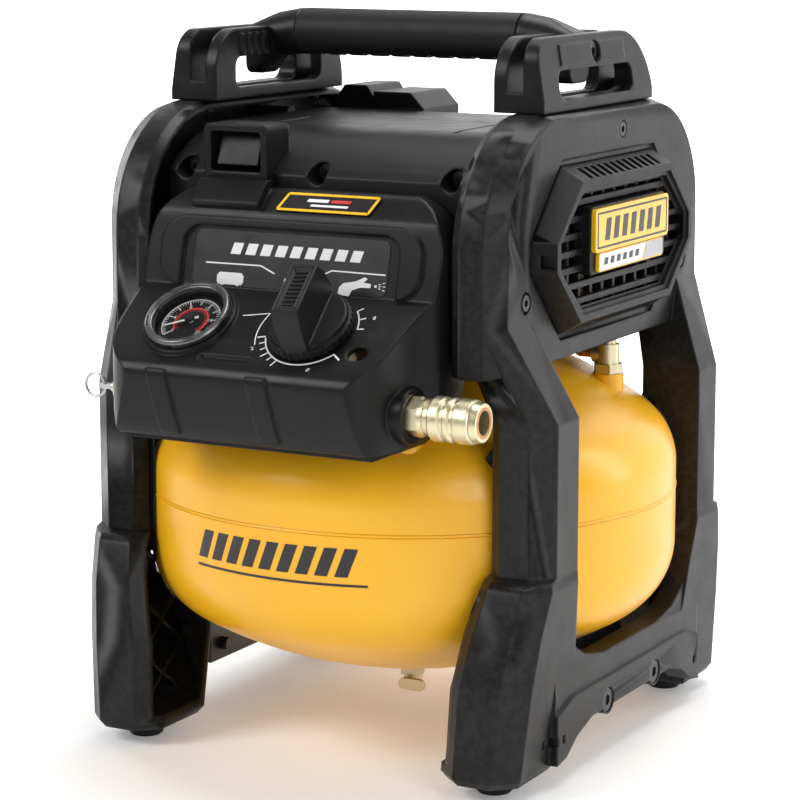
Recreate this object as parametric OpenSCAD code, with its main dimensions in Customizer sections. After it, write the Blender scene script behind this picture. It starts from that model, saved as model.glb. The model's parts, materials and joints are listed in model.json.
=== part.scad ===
// Cordless pancake air compressor: horizontal round air tank, two moulded side
// frames with carry loops and a cross handle, sloping control console with
// gauge, regulator knob, toggle switch and quick coupler, and an oil-free
// piston pump driven by a brushless motor under the shroud.
// Millimetres, +Z up, -Y is the console side (front), +X is right,
// tank axis on the Z axis, ground at z = 0.

/* [Tank] */
// Outside radius of the tank wall
tank_r = 154.5; // [153:0.5:155]
// Sheet thickness of the tank
tank_t = 2; // [1.6:0.1:2.4]
// Height of the weld seam above the ground
seam_z = 141; // [136:1:146]
// Knuckle radius of the upper head
knuckle_up = 40; // [38:1:42]
// Knuckle radius of the lower head
knuckle_dn = 45; // [42:1:47]

/* [Side frames] */
// Wall thickness of the moulded frames
frame_t = 4; // [3.4:0.1:4.2]
// Radius of the rounded top corners of the frames
frame_r = 70; // [66:1:72]
// Height of the top of the bottom rail at its middle
rail_top = 62; // [58:1:66]
// Radius of the rubber feet
foot_r = 10; // [8:0.5:10.5]

/* [Carry loops and handle] */
// Height of the top of the carry loops
loop_top = 404; // [402:1:406]
// Radius of the rear top corner of each loop
loop_rear_r = 35; // [28:1:35]
// Outside radius of the rubber grip
grip_r = 13.5; // [12.8:0.1:13.5]
// Number of finger grooves under the grip
grip_grooves = 9; // [5:1:10]

/* [Console] */
// Half width of the console
con_w = 92; // [90:0.5:93]
// Angle of the gauge shelf from level
shelf_tilt = 36; // [35:0.5:37]
// Wall thickness of console and shrouds
con_t = 2.6; // [2.2:0.1:2.8]
// Gauge centre to the left of the middle
gauge_x = 48; // [46:1:50]
// Regulator knob centre to the right of the middle
knob_x = 28; // [26:1:30]
// Outside radius of the gauge bezel
bezel_r = 24.5; // [23.5:0.5:25]
// Outside radius of the knob skirt
knob_r = 24; // [23:0.5:24.5]
// Height of the knob grip above the shelf
knob_h = 31; // [26:1:32]

/* [Quick coupler] */
// Radius of the plug socket
socket_r = 6.5; // [6.3:0.1:6.6]
// Outside radius of the sleeve
sleeve_r = 12; // [11.5:0.1:12.2]

/* [Pump] */
// Height of the crank axis
crank_z = 274; // [273.5:0.5:274]
// Crank throw (half the stroke)
crank_e = 5; // [4:0.5:5]
// Bore radius of the cylinder
bore_r = 20; // [19.5:0.5:20]
// Running clearance on every moving fit (radial)
fit = 0.05; // [0.03:0.01:0.08]
// Number of fan blades
fan_blades = 9; // [7:1:11]

/* [Battery] */
// Depth of the battery pack from its rail
batt_d = 82.5; // [78:0.5:86]
// Height of the battery pack
batt_h = 104; // [96:1:106]

/* [Hidden] */
$fn = 64;

// Colours
black = [0.10,0.10,0.11];
dark = [0.06,0.06,0.07];
grey = [0.42,0.43,0.45];
yellow = [0.96,0.68,0.05];
brass = [0.80,0.66,0.34];
steel = [0.68,0.69,0.71];
alu = [0.75,0.76,0.78];
rubber = [0.05,0.05,0.05];
white = [0.92,0.92,0.92];
copper = [0.72,0.42,0.25];
board_green = [0.05,0.25,0.12];
lens_clear = [0.8,0.85,0.88,0.4];

// Tank
head_up_h = 78;              // rise of the upper head above the wall
head_dn_h = 74.5;            // drop of the lower head below the wall
wall_lo = 109;
wall_hi = 154;
mount_x = [-70,70];          // pump mounts on the upper head
mount_y = [-48,48];

// Side frames
frame_x = 124;               // outer plane
frame_y = 137;               // front plane (half depth)
frame_top = 364;
frame_lo = 229;              // lower edge of the upper panel
boss_y = [-33,33];           // isolator bolts through the rail
boss_z = 33.5;
foot_x = [-113,113];
foot_y = [-117,117];
tie_y = [-105,105];          // tie bars between the frames
tie_z = 267;
rear_screw_y = 18;           // screw from frame to rear shroud
rear_screw_z = 350;

// Carry loops and handle
loop_y = 72.5;               // half length of a loop
loop_screw_x = 100.5;
loop_screw_y = [-60,60];
handle_z = 401;
handle_bolt_z = 394;

// Shroud and console
shroud_screw_x = [-84,0,82];
shroud_screw_z = 330;
panel_foot = [-143.2,269.5]; // y, z where the upright panel meets the shelf
panel_head = [-134.3,307];   // y, z of the top of the upright panel
panel_tilt = atan2(panel_head[1]-panel_foot[1],panel_head[0]-panel_foot[0]);
lip_y = -190;                // front lip of the shelf
lip_z = panel_foot[1]+(lip_y-panel_foot[0])*tan(shelf_tilt);
shelf_y = -165;              // line of the gauge and knob centres
shelf_z = panel_foot[1]+(shelf_y-panel_foot[0])*tan(shelf_tilt);
port_y = -160;               // axis of coupler and safety valve
port_z = 212;

// Pump stack, each part resting a hairline gap above the one below
gap = 0.02;
plate_top = 240;
base_z = plate_top+gap;
case_top = 300;
barrel_top = 325.6;
valve_top = 328.4;
bore_x = 2;                  // axis of the cylinder
block_w = 29;                // half width of the square cylinder flanges
head_bolt_x = [bore_x-24,bore_x+24];
head_bolt_y = [-24,24];

// Battery
batt_z = 212;                // underside
batt_back = 115+batt_d;      // rear face

// ---------- helpers ----------
// 2-D drawn in (Y,Z), swept along X from x0 to x1
module along_x(x0,x1) {
  translate([x0,0,0]) rotate([90,0,90]) linear_extrude(x1-x0) children();
}
// 2-D drawn in (X,Z), swept along Y from y0 to y1
module along_y(y0,y1) {
  translate([0,y1,0]) rotate([90,0,0]) linear_extrude(y1-y0) children();
}
module along_z(z0,z1) {
  translate([0,0,z0]) linear_extrude(z1-z0) children();
}
// Turns local +Z to +X at a point
module facing_x(x,y,z) {
  translate([x,y,z]) rotate([0,90,0]) children();
}
module cyl_x(r,x0,x1,y=0,z=0) { facing_x(x0,y,z) cylinder(r=r,h=x1-x0); }
module cyl_y(r,y0,y1,x=0,z=0) {
  translate([x,y1,z]) rotate([90,0,0]) cylinder(r=r,h=y1-y0);
}
module cyl_z(r,z0,z1,x=0,y=0) { translate([x,y,z0]) cylinder(r=r,h=z1-z0); }
module box(x0,x1,y0,y1,z0,z1) { translate([x0,y0,z0]) cube([x1-x0,y1-y0,z1-z0]); }
// The children and their mirror image in X, or in Y
module both_x() {
  children();
  mirror([1,0,0]) children();
}
module both_y() {
  children();
  mirror([0,1,0]) children();
}
module at_each(xs,ys) {
  for (x=xs, y=ys) translate([x,y,0]) children();
}
module round_rect(x0,y0,x1,y1,r) {
  translate([x0+r,y0]) square([x1-x0-2*r,y1-y0]);
  translate([x0,y0+r]) square([x1-x0,y1-y0-2*r]);
  for (x=[x0+r,x1-r], y=[y0+r,y1-r]) translate([x,y]) circle(r);
}
module rod(from,to,r) {
  span = to-from;
  length = norm(span);
  translate(from) rotate([0,acos(span[2]/length),atan2(span[1],span[0])])
    cylinder(r=r,h=length);
}
// Local Z square to the gauge shelf, origin on its surface
module on_shelf(x) {
  translate([x,shelf_y,shelf_z]) rotate([shelf_tilt,0,0]) children();
}
// 2-D raised by h from the upright panel above the shelf
module on_panel(h) {
  translate([0,panel_foot[0],panel_foot[1]]) rotate([panel_tilt,0,0])
    linear_extrude(h) children();
}
// Cylinders on the shared axes
module boss_cyls(r,x0,x1) { for (y=boss_y) cyl_x(r,x0,x1,y,boss_z); }
module port_cyl(r,x0,x1) { cyl_x(r,x0,x1,port_y,port_z); }
module crank_cyl(r,x0,x1) { cyl_x(r,x0,x1,0,crank_z); }
module bore_cyl(r,z0,z1) { cyl_z(r,z0,z1,bore_x); }
module inlet_cyl(r,z0,z1) { cyl_z(r,z0,z1,108,38); }     // air into the tank
module outlet_cyl(r,z0,z1) { cyl_z(r,z0,z1,60,-118); }   // air to the manifold

// ---------- tank ----------
// Half outline of a dished head; detail scales the facet counts
module head_2d(r,h,knuckle,detail) {
  crown = (r*r+h*h-2*r*knuckle)/(2*(h-knuckle));
  joint = (r-knuckle)+knuckle*(r-knuckle)/(crown-knuckle);
  intersection() {
    translate([0,h-crown]) circle(crown,$fn=256*detail);
    square([joint,h+1]);
  }
  intersection() {
    translate([r-knuckle,0]) circle(knuckle,$fn=128*detail);
    translate([joint-0.001,0]) square([r,h]);
  }
}
module upper_2d(inset,detail=1) {
  translate([0,wall_hi]) head_2d(tank_r-inset,head_up_h-inset,knuckle_up-inset,detail);
  translate([0,seam_z]) square([tank_r-inset,wall_hi-seam_z+0.001]);
}
module lower_2d(inset,detail=1) {
  translate([0,wall_lo]) mirror([0,1])
    head_2d(tank_r-inset,head_dn_h-inset,knuckle_dn-inset,detail);
  translate([0,wall_lo-0.001]) square([tank_r-inset,seam_z-wall_lo]);
}
module tank_upper_shell() color(yellow) difference() {
  union() {
    rotate_extrude($fn=128) upper_2d(0);
    at_each(mount_x,mount_y) cyl_z(9,200,221);
    inlet_cyl(9,190,207);
    outlet_cyl(9,180,199);
  }
  rotate_extrude($fn=128) upper_2d(tank_t);
  translate([0,0,seam_z-2]) cylinder(r=tank_r+5,h=3);
  at_each(mount_x,mount_y) cyl_z(3.1,207,222);
  inlet_cyl(5,180,210);
  outlet_cyl(4,180,205);
}
module tank_lower_shell() color(yellow) difference() {
  union() {
    rotate_extrude($fn=128) lower_2d(0);
    cyl_z(11,30,38);
  }
  rotate_extrude($fn=128) lower_2d(tank_t);
  translate([0,0,seam_z-1]) cylinder(r=tank_r+5,h=3);
  cyl_z(5,20,50);
}
module tank_weld_ring() color(yellow) rotate_extrude($fn=128) translate([0,seam_z])
  polygon([[tank_r-tank_t,-1],[tank_r-0.2,-1],[tank_r+0.5,-0.5],
    [tank_r+0.5,0.5],[tank_r-0.2,1],[tank_r-tank_t,1]]);

// Upright plate under the tank, bolted to the isolators
module rail_bracket() difference() {
  union() {
    along_x(113,116) polygon([[-46,24],[46,24],[46,44],[38,75],[-38,75],[-46,44]]);
    box(96,113.1,-38,38,58,61);
  }
  rotate_extrude($fn=128) lower_2d(-0.02);
  boss_cyls(4.1,110,120);
}
// Plate standing off the tank wall inside a front leg
module wall_bracket() difference() {
  along_y(-111.5,-108.5) polygon([[100,107.5],[128,107.5],[128,112],[122,122],[122,150],
    [128,158],[128,172],[112,184],[100,184]]);
  cylinder(r=tank_r+0.6,h=260,$fn=128);
  cyl_y(3.1,-120,-100,122.5,113);
}
module tank_brackets() color(dark) both_x() {
  rail_bracket();
  both_y() wall_bracket();
}
module tank_isolators() color(rubber) {
  at_each(mount_x,mount_y) difference() {
    cyl_z(9,221,237);
    cyl_z(3.2,220,238);
  }
  both_x() difference() {
    boss_cyls(9,116,128);
    boss_cyls(4.1,115,129);
  }
}

// ---------- side frames (drawn on the right) ----------
// Tank envelope grown by a clearance
module tank_envelope(clearance) rotate_extrude($fn=48) {
  upper_2d(-clearance,0.2);
  lower_2d(-clearance,0.2);
  translate([0,seam_z-2]) square([tank_r+clearance,4]);
}
// Front leg stations: z; x of inner face, inner front corner, outer front
// corner, outer face; y of front face, start of outer face, back
LEG = [
  [256,  95,  101,  114,   frame_x, -137,   -127,   -99],
  [204, 110,  116.5,134,   146,     -121,   -110.5, -84],
  [121, 110,  116.5,134,   146,     -121,   -110.5, -84],
  [119, 108.5,115,  134.5, 146.2,   -127.5, -115.5, -84],
  [114, 107,  114,  134.5, 146.5,   -130,   -117,   -84],
  [91,  100,  109.5,131.5, 144,     -138.5, -124.5, -80],
  [60,   93,  104,  128.5, 141,     -143.5, -130,   -76],
  [13,   89,  102,  125.4, 137,     -146,   -134.5, -92],
  [9,    92,  104,  123,   134.5,   -143.5, -132.5, -95]];
// Leg cavity stations: z, and the LEG row whose x and y it follows
CAVITY_STEPS = [[252,0],[204,1],[121,2],[112,4],[91,5],[60,6],[18,7]];
CAVITY = [for (step=CAVITY_STEPS) [step[0], each [for (i=[1:7]) LEG[step[1]][i]]]];

module leg_slice(row,hollow) {
  x_in = row[1];
  x_front_in = row[2];
  x_front_out = row[3];
  x_out = row[4];
  y_front = row[5];
  y_side = row[6];
  y_back = row[7];
  wall = frame_t+1;
  translate([0,0,row[0]]) linear_extrude(0.02) polygon(hollow
    ? [[x_in-25,y_back-frame_t],[x_in-25,y_front+wall+(x_front_in-x_in)],
       [x_front_in+1,y_front+wall],[x_front_out-2,y_front+wall],
       [x_out-wall,y_side+2],[x_out-wall,y_back-frame_t]]
    : [[x_in,y_back],[x_in,y_front+0.9*(x_front_in-x_in)],[x_front_in,y_front],
       [x_front_out,y_front],[x_out,y_side],[x_out,y_back]]);
}
module leg(rows,hollow=false,first=0) {
  for (i=[first:len(rows)-2]) hull() {
    leg_slice(rows[i],hollow);
    leg_slice(rows[i+1],hollow);
  }
}
// Upper panel outline with rounded top corners
module panel_2d(half,top,bottom,r) intersection() {
  translate([-half,bottom]) square([2*half,200]);
  hull() {
    translate([-half,bottom]) square([2*half,1]);
    for (side=[-1,1]) translate([side*(half-r),top-r]) circle(r,$fn=56);
  }
}
module rail_2d(inset=0) {
  polygon([[-100,97-inset],[-84,80-inset],[-62,rail_top+5-inset],[-37,rail_top-inset],
    [37,rail_top-inset],[62,rail_top+5-inset],[84,80-inset],[100,97-inset],
    [100,13+inset],[88,15+inset],[74,24+inset],[54,30+inset],
    [-54,30+inset],[-74,24+inset],[-88,15+inset],[-100,13+inset]]);
}
// Octagon: half width, bottom and top z, half width of the level edges,
// share of the height at which each sloping edge starts
module octagon(half,z0,z1,flat,share) {
  rise = (z1-z0)*share;
  polygon([[-flat,z0],[flat,z0],[half,z0+rise],[half,z1-rise],
    [flat,z1],[-flat,z1],[-half,z1-rise],[-half,z0+rise]]);
}
module frame_outside() {
  hull() {
    along_x(95,95.1) panel_2d(134.5,frame_top-2,frame_lo+1,frame_r);
    along_x(100,114) panel_2d(frame_y,frame_top,frame_lo,frame_r);
    along_x(frame_x-0.1,frame_x) panel_2d(127,361,frame_lo+2,62);
  }
  both_y() leg(LEG);
  along_x(128,141) rail_2d();
  // raised band along the foot of the rail
  intersection() {
    along_x(138,142.6) polygon([[-78,47.5],[78,47.5],[122,34],[122,0],[-122,0],[-122,34]]);
    along_x(138,143) rail_2d();
  }
  boss_cyls(8,132,142.6);
}
module frame_hollow() {
  hull() {
    along_x(90,112)
      panel_2d(frame_y-frame_t-1,frame_top-frame_t-1,frame_lo+frame_t,frame_r-5);
    along_x(119.9,120) panel_2d(127-frame_t,357,frame_lo+frame_t+1,58);
  }
  both_y() leg(CAVITY,hollow=true);
  difference() {
    along_x(120,135) rail_2d(4);
    boss_cyls(9,120,136);
  }
}
module rail_ribs() intersection() {
  along_x(129,136) for (y=[-48:32:48]) for (angle=[-32,32])
    translate([y,46]) rotate(angle) square([44,2.4],center=true);
  along_x(128,141) rail_2d();
}
module bumper_web() along_y(-106,-99) polygon([[142,124],[103,124],[99.6,130],[99.6,176],
  [101.2,182],[104.6,186.4],[109,188.5],[142,188.5]]);
// Crossing ribs in the lower part of a leg
module leg_ribs() intersection() {
  along_x(108,141) {
    for (z=[34,66]) for (angle=[-38,38])
      translate([-106,z]) rotate(angle) square([70,2.6],center=true);
    translate([-106,100]) rotate(-30) square([60,2.6],center=true);
  }
  leg(LEG,first=3);
}
module frame_cuts() {
  // vent recess and opening
  along_x(121.9,frame_x+1) octagon(100,241,339,62,0.40);
  along_x(118,frame_x+1) octagon(91,249,331,56,0.40);
  // screw pockets
  for (y=tie_y) {
    cyl_x(6,121.5,frame_x+1,y,tie_z);
    cyl_x(2.4,110,frame_x+1,y,tie_z);
  }
  cyl_x(5,121.5,frame_x+1,rear_screw_y,rear_screw_z);
  cyl_x(2.4,110,frame_x+1,rear_screw_y,rear_screw_z);
  boss_cyls(4.3,120,146);
  boss_cyls(7.2,138.5,146);
  // foot sockets
  at_each([foot_x[1]],foot_y) {
    cyl_z(5.1,8,14);
    cyl_z(2.6,8,20);
  }
  // loop screws
  at_each([loop_screw_x],loop_screw_y) cyl_z(2.4,350,frame_top+1);
  // room for the tank between the legs
  tank_envelope(1.6);
  // drain slots near the feet
  both_y() for (k=[0:2]) along_x(133,150) translate([92+8*k-1.5,24]) square([3,5]);
}
module side_frame() difference() {
  union() {
    difference() {
      union() frame_outside();
      frame_hollow();
    }
    rail_ribs();
    both_y() {
      bumper_web();
      leg_ribs();
    }
  }
  frame_cuts();
}
module right_side_frame() color(black) side_frame($fn=32);
module left_side_frame() color(black) mirror([1,0,0]) side_frame($fn=32);

module vent_rim() difference() {
  union() {
    hull() {
      along_x(122.1,122.2) octagon(97,244,336,61,0.42);
      along_x(135.9,136) octagon(92,251.5,328,61,0.40);
    }
    // spigot into the frame opening
    along_x(115,122.15) difference() {
      octagon(90.2,249.8,330.2,55.6,0.40);
      octagon(87,253,327,54,0.40);
    }
  }
  hull() {
    along_x(114.9,115) octagon(87,253,327,54,0.40);
    along_x(133,133.1) octagon(86.5,260,319,56,0.44);
  }
  // window inside the rim, its edge stepped
  along_x(131,137) octagon(84.5,258,321.5,56.5,0.38);
  along_x(134.4,137) octagon(87.5,255.5,324,59,0.39);
  // comb slots in the sloping rim
  for (z=[245.6,328.6]) for (k=[-5.5:1:5.5])
    along_x(120,140) translate([k*8.4-2.3,z]) square([4.6,5]);
  both_y() for (k=[-1:1])
    along_x(120,140) translate([93.6-1.4,288+k*14-3.5]) square([2.8,7]);
}
module vent_cover() {
  vent_rim();
  // level slats in front, uprights behind
  intersection() {
    along_x(127,130.6) octagon(89,256,323,57,0.43);
    union() for (k=[0:6]) along_x(126,131) translate([-95,262+9*k-1.7]) square([190,3.4]);
  }
  intersection() {
    along_x(123.6,127.4) octagon(89.6,255,324,57.5,0.43);
    union() for (k=[-5:5]) along_x(123,128) translate([15.2*k-1.5,250]) square([3,80]);
  }
  // pad behind the badge
  along_x(126.5,136) round_rect(-51,276,51,313,4);
}
module right_vent_cover() color(dark) vent_cover();
module left_vent_cover() color(dark) mirror([1,0,0]) vent_cover();
module vent_badges() color(yellow) both_x() {
  along_x(136.02,139) round_rect(-50,288,50,312,3);
  along_x(136.02,138.4) round_rect(-44,277,44,287.5,2);
}

// ---------- loops and handle ----------
loop_base = frame_top+0.05;
module loop_2d(front_r=14) {
  h = loop_top-loop_base;
  intersection() {
    union() {
      translate([front_r-loop_y,loop_base]) square([2*loop_y-front_r-loop_rear_r,h]);
      translate([-loop_y,loop_base]) square([2*loop_y,5]);
      translate([-loop_y,loop_base]) square([front_r+1,h-front_r]);
      translate([front_r-loop_y,loop_top-front_r]) circle(front_r);
      translate([loop_y-loop_rear_r,loop_top-loop_rear_r]) circle(loop_rear_r,$fn=128);
    }
    translate([-80,loop_base]) square([160,60]);
  }
}
module carry_loop() difference() {
  union() {
    // outer plate, its face leaning in towards the top
    intersection() {
      along_x(105.5,118) difference() {
        loop_2d();
        round_rect(-51,370,46.5,386,6);
      }
      along_y(-80,80) polygon([[105.5,frame_top],[118,frame_top],[118,frame_top+6],
        [112.5,loop_top+1],[105.5,loop_top+1]]);
    }
    // raised bar on the leaning face
    translate([118,0,frame_top+6]) rotate([0,-atan(5.5/(loop_top-frame_top-5)),0])
      translate([-2,-46,18.5]) cube([2.8,84,11.5]);
    // inner plate, notched for the handle end
    along_x(88,95.5) difference() {
      loop_2d(24);
      round_rect(-51,370,46.5,388,6);
      translate([-13.4,371]) square([26.8,60]);
    }
    for (y=[-44,-36,-28,-20,20,28,36]) along_x(86.6,88) translate([y-1.5,389]) square([3,12]);
    // floor and end walls joining the plates
    along_x(95.4,105.6) {
      translate([-loop_y,loop_base]) square([2*loop_y,3]);
      translate([-loop_y,loop_base]) square([6,11]);
      translate([66,loop_base]) square([6,11]);
    }
  }
  at_each([loop_screw_x],loop_screw_y) cyl_z(2.4,360,372);
  cyl_x(3.2,100,122,0,handle_bolt_z);
  cyl_x(6,110,122,0,handle_bolt_z);
}
module right_carry_loop() color(black) carry_loop();
module left_carry_loop() color(black) mirror([1,0,0]) carry_loop();

module handle_core() color(black) difference() {
  union() {
    cyl_x(10,-71,71,0,handle_z);
    both_x() {
      hull() {
        cyl_x(13.3,71,74,0,handle_z,$fn=48);
        cyl_x(12.9,86,88,0,399,$fn=48);
      }
      hull() {
        cyl_x(12.9,86,88,0,399,$fn=48);
        along_x(96.2,105.2) round_rect(-12.5,376,12.5,404,6);
      }
    }
  }
  both_x() cyl_x(2.9,95,106,0,handle_bolt_z);
}
module handle_grip() color(rubber) difference() {
  cyl_x(grip_r,-70.8,70.8,0,handle_z);
  cyl_x(10.02,-72,72,0,handle_z);
  for (i=[0:grip_grooves-1])
    cyl_y(3.2,-20,20,-56+112*i/(grip_grooves-1),handle_z-grip_r-1.2);
}
module tie_bars() color(steel) for (y=tie_y) difference() {
  cyl_x(4.5,-119.5,119.5,y,tie_z);
  both_x() cyl_x(1.9,104,120,y,tie_z);
}
module rubber_feet() color(rubber) at_each(foot_x,foot_y) difference() {
  union() {
    cyl_z(foot_r,1,9);
    cyl_z(foot_r-1,0,1);
    cyl_z(5,9,13.5);
  }
  cyl_z(2.3,-1,15);
  cyl_z(5.2,-1,4);
}

// ---------- shroud ----------
// Curved shoulder of the shroud, from front to top
function shoulder(r) = [for (i=[0:10]) let(angle=132-40*i/10)
  [-52+r*cos(angle),262+r*sin(angle)]];
// Closed half profile on the -Y side
module shroud_2d(inset) {
  polygon(concat([[0,225],[-112.5+inset,225],[-112.5+inset,322-inset*0.3]],
    shoulder(90-inset),[[0,352.2-inset]]));
}
// Front half, open below and at the middle
module shroud_shell() difference() {
  along_x(-94.5,94.5) shroud_2d(0);
  along_x(-96,96) intersection() {
    shroud_2d(con_t);
    translate([-130,226]) square([129.999,140]);
  }
  along_x(-96,96) translate([-130,220]) square([140,7]);
}
module front_shroud() color(black) difference() {
  union() {
    shroud_shell();
    intersection() {
      for (x=shroud_screw_x) cyl_y(8,-112,-92,x,shroud_screw_z);
      along_x(-94.5,94.5) shroud_2d(0.2);
    }
  }
  box(-100,100,-0.02,10,200,360);
  for (x=shroud_screw_x) {
    cyl_y(6,-130,-98,x,shroud_screw_z);
    cyl_y(2.4,-100,-80,x,shroud_screw_z);
  }
  // opening behind the console for wiring and tubes
  box(-70,70,-120,-105,230,300);
  // groove lines on the top
  for (x=[-60,60]) box(x-1,x+1,-90,-12,351,354);
}
module rear_shroud() color(black) difference() {
  union() {
    mirror([0,1,0]) shroud_shell();
    // two humps on the left of the top
    along_y(58,100) polygon([[-84,338],[-84,358],[-78,366],[-63,366],[-57.9,359],[-57.9,338]]);
    along_y(58,104) polygon([[-58,338],[-58,362.5],[-33,362.5],[-24,353],[-24,338]]);
    both_x() {
      cyl_x(5,92,119.6,rear_screw_y,rear_screw_z);
      // battery rails
      box(26,34,112.4,118,240,318);
      box(30,38,116,120,240,318);
    }
  }
  box(-100,100,-10,0.02,200,360);
  // hollows of the humps
  along_y(60,98) polygon([[-82,330],[-82,357.2],[-77,363.5],[-64,363.5],[-60,358.3],[-60,330]]);
  along_y(60,102) polygon([[-56,330],[-56,360],[-34,360],[-26,352],[-26,330]]);
  both_x() cyl_x(1.9,104,121,rear_screw_y,rear_screw_z);
  for (k=[0:6]) box(20+8*k,23+8*k,110,116,330,345);
}

// ---------- console ----------
// Outline with each corner rounded over its own length, in 3 steps
function round_corners(points,lengths) = let(n=len(points)) [for (i=[0:n-1]) let(
    corner=points[i],
    back=points[(i+n-1)%n]-corner,
    ahead=points[(i+1)%n]-corner,
    back_run=min(lengths[i],0.45*norm(back)),
    ahead_run=min(lengths[i],0.45*norm(ahead)))
  each (lengths[i]==0 ? [corner] : [for (k=[0:3]) let(t=k/3, s=1-t)
    corner+back/norm(back)*back_run*s*s+ahead/norm(ahead)*ahead_run*t*t])];

// Side view in (Y,Z)
module console_yz(inset) {
  back_y = inset>0 ? -109 : -113.2;
  polygon(round_corners([
    [back_y,322-inset],[-120,322-inset],[-123,321-inset],
    [-133+inset*0.8,310.5-inset*0.6],[panel_head[0]+inset,panel_head[1]],
    [panel_foot[0]+inset,panel_foot[1]-inset*0.3],[lip_y+inset*0.7,lip_z-inset],
    [-193.5+inset,lip_z-4],[-194.5+inset,226],[-190+inset,198],
    [-184+inset,inset>0?186:190],[-140,inset>0?186:190],[-121,inset>0?196:204],
    [back_y,inset>0?204:214]],
    [0,3,4,6,3,0,7,7,12,12,8,0,0,0]));
}
// Top view in (X,Y)
module console_xy(inset) {
  w = con_w-inset;
  polygon(round_corners([
    [-w,-100],[-w,-170],[-w+4,-182+inset*0.5],[-w+13,-191+inset],[-w+24,-196+inset],
    [w-34,-196+inset],[w-24,-192+inset],[w-17,-183+inset*0.5],[w-13,-172],[w-8,-150],
    [w,-138],[w,-100]],
    [0,12,12,12,12,12,12,12,12,10,8,0]));
}
// Front view in (X,Z)
module console_xz(inset) {
  w = con_w-inset;
  polygon(round_corners([
    [-w+18,180],[w-18,180],[w,216],[w,292],[w-3.5,306-inset*0.3],[w-11,316-inset*0.6],
    [w-24,323-inset],[-w+24,323-inset],[-w+11,316-inset*0.6],[-w+3.5,306-inset*0.3],
    [-w,292],[-w,216]],
    [0,0,14,14,10,10,10,10,10,10,14,14]));
}
module console_solid(inset) intersection() {
  along_x(-100,100) console_yz(inset);
  along_z(150,360) console_xy(inset);
  along_y(-220,-90) console_xz(inset);
}
module console_body() color(black) difference() {
  union() {
    difference() {
      console_solid(0);
      console_solid(con_t);
    }
    // raised ring round the gauge
    on_shelf(-gauge_x) difference() {
      cylinder(r=26.8,h=2.2);
      cyl_z(22.2,-1,4);
    }
    // raised border round the upright panel
    intersection() {
      on_panel(2.4) difference() {
        round_rect(-82,-0.5,80,38.2,15);
        round_rect(-68,-12,67,33.5,11);
      }
      along_y(-220,-100) console_xz(0);
      along_z(150,360) console_xy(0);
    }
    // slanting ribs on the front
    for (x=[-58,4]) intersection() {
      along_y(-197,-186) polygon([[x,231],[x+12,231],[x+18,196],[x+6,196]]);
      translate([0,-1.4,0]) console_solid(0);
    }
    // raised step under the switch box
    along_x(-66,-23) polygon([[-119.2,314],[-119.2,326.5],[-124.5,326.5],[-127.5,324],
      [-135.5,315],[-133.5,311.5],[-125,311.5]]);
    // coupler collar
    port_cyl(15,74,86);
  }
  // open bottom
  box(-100,100,-200,-100,180,190.3+con_t);
  on_shelf(-gauge_x) cyl_z(22.2,-30,10);
  on_shelf(knob_x) cyl_z(9,-30,10);
  on_shelf(knob_x+33.5) cyl_z(5.5,-5,5,0,-14);
  port_cyl(11.2,70,100);
  port_cyl(10.2,-110,-70);
  // slit between shelf and front lip
  on_shelf(-14) box(-15,16,-28,-24,-1.4,2.6);
}
module console_bottom_cover() color(dark) difference() {
  intersection() {
    along_z(190.4,190.4+con_t-0.2) console_xy(0.4);
    box(-74,74,-183,-142,180,200);
  }
  for (x=[-60,60]) cyl_z(2.2,185,200,x,-176);
  box(-20,20,-142.5,-141,180,200);
}
module panel_label() color(dark) translate([0,-0.01,0]) on_panel(0.5)
  round_rect(-61,0.6,60,31,4);
module top_badge() color(yellow) translate([0,-128.01,315.76]) rotate([atan2(10.5,10),0,0])
  linear_extrude(1.2) polygon([[-13,-6],[44,-6],[48,6],[-9,6]]);
module console_labels() {
  panel_label();
  top_badge();
}

toggle_y = -108.5;           // hinge axis of the toggle
module switch_box() color(black) difference() {
  along_y(-119,-95) round_rect(-67,322.1,-27,356,3);
  along_y(-120,-104) round_rect(-63,330,-31,352,2);
  cyl_x(2+fit,-65.2,-28.8,toggle_y,341);
  // room for the shroud
  along_x(-70,-20) polygon(concat([[0,200],[-112.55,200],[-112.55,322.1]],
    shoulder(90.05),[[0,352.3]]));
}
module power_toggle() color(grey) {
  along_x(-60,-34) polygon([[-117,333.5],[-110,333.5],[-106.5,337.5],[-106.5,348.5],
    [-111,349.5],[-114,342]]);
  cyl_x(2,-65,-29,toggle_y,341);
}

// ---------- gauge ----------
module gauge_case() color(dark) on_shelf(-gauge_x) difference() {
  union() {
    cyl_z(21.6,-22,2.4);
    cyl_z(5,-43,-21.5);
  }
  cyl_z(19.8,-2,28);
  cyl_z(17,-19,11);
}
module gauge_bezel() color(grey) on_shelf(-gauge_x) rotate_extrude($fn=96)
  polygon([[20.4,2.4],[bezel_r,2.4],[bezel_r,5.2],[bezel_r-1.2,6.6],[21.2,6.6],
    [21.2,5.2],[20.4,5.2]]);
module gauge_dial() color(dark) on_shelf(-gauge_x) difference() {
  cyl_z(19.7,-2,-1);
  cyl_z(1.3,-3,0);
}
module gauge_needle() color(white) on_shelf(-gauge_x) {
  rotate(115) translate([0,0,0.4]) linear_extrude(0.6) union() {
    polygon([[-0.9,-5],[0.9,-5],[0.25,16],[-0.25,16]]);
    circle(2.2);
  }
  cyl_z(1.25,-3,0.5);
}
module gauge_lens() color(lens_clear) on_shelf(-gauge_x) cyl_z(21.1,5.25,6.35);

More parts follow.
